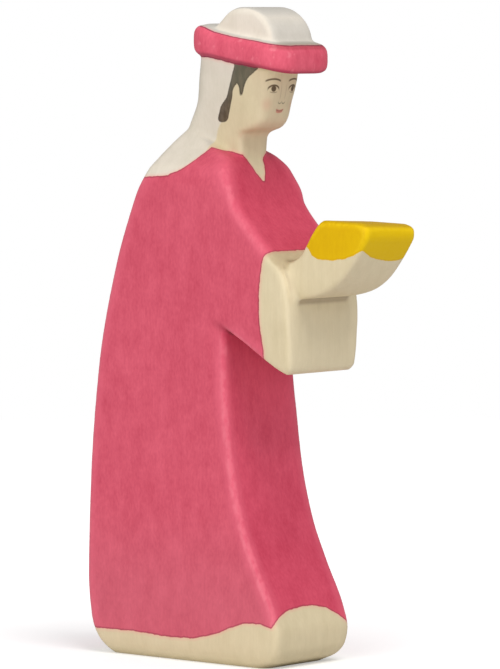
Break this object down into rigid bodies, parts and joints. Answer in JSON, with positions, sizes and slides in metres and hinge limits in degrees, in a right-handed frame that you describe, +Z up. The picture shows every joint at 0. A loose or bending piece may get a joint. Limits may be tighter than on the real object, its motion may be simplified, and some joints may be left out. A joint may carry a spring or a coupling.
{
  "type": "nativity wise man figurine",
  "caption": "Carved wooden nativity king standing in a long robe with a rolled headband, holding out a gift in both hands.",
  "frame": {"origin": "on the ground, in the middle of the figure's bounding box seen from above", "axes": "+Z up, towards the crown; the figure faces -Y; X runs through the thickness of the board"},
  "size_m": [0.03, 0.0908, 0.17],
  "materials": {
    "painted_wood": "thin raspberry stain with white, yellow and bare wood parts, sanded satin"
  },
  "bodies": {
    "root": {"wise_man": "painted_wood"}
  },
  "joints": []
}
